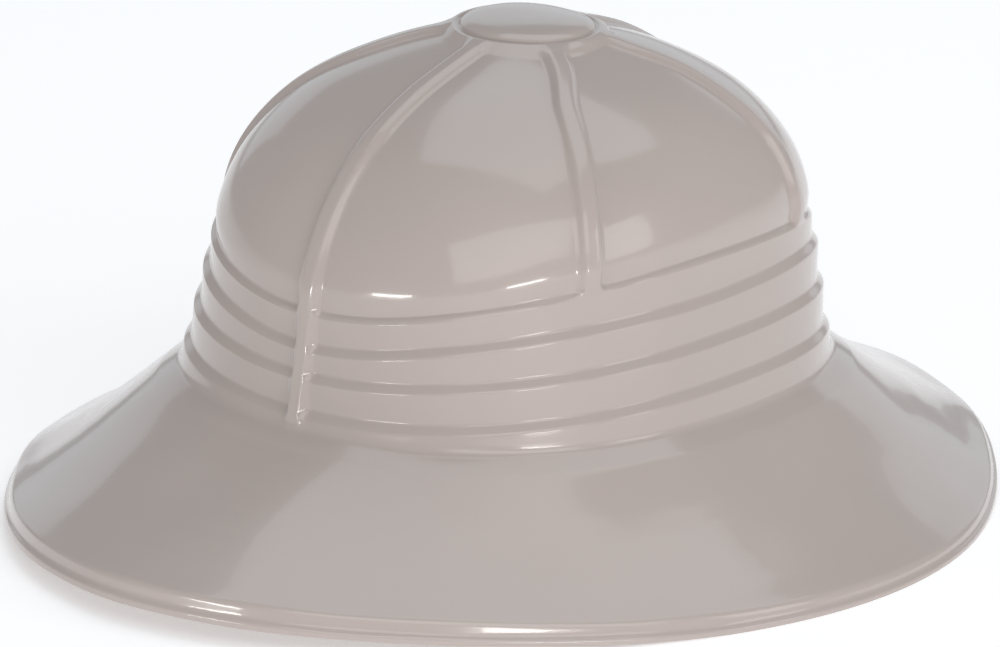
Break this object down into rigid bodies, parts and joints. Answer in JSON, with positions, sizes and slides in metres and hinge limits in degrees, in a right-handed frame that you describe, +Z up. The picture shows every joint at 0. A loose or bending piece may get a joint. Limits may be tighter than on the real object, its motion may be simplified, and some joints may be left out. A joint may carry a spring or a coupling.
{
  "type": "pith helmet",
  "caption": "Glossy moulded plastic pith helmet: ribbed dome with a top button, a folded band with a front strap, and a broad sloping brim with a turned-down lip.",
  "frame": {"origin": "centre of the helmet's footprint, on the level that its trimmed edge stands on", "axes": "+Z up through the button, front of the helmet towards -Y, +X towards the wearer's left"},
  "size_m": [0.272, 0.33, 0.1407],
  "materials": {
    "plastic": "gloss"
  },
  "bodies": {
    "root": {"helmet_shell": "plastic"}
  },
  "joints": []
}
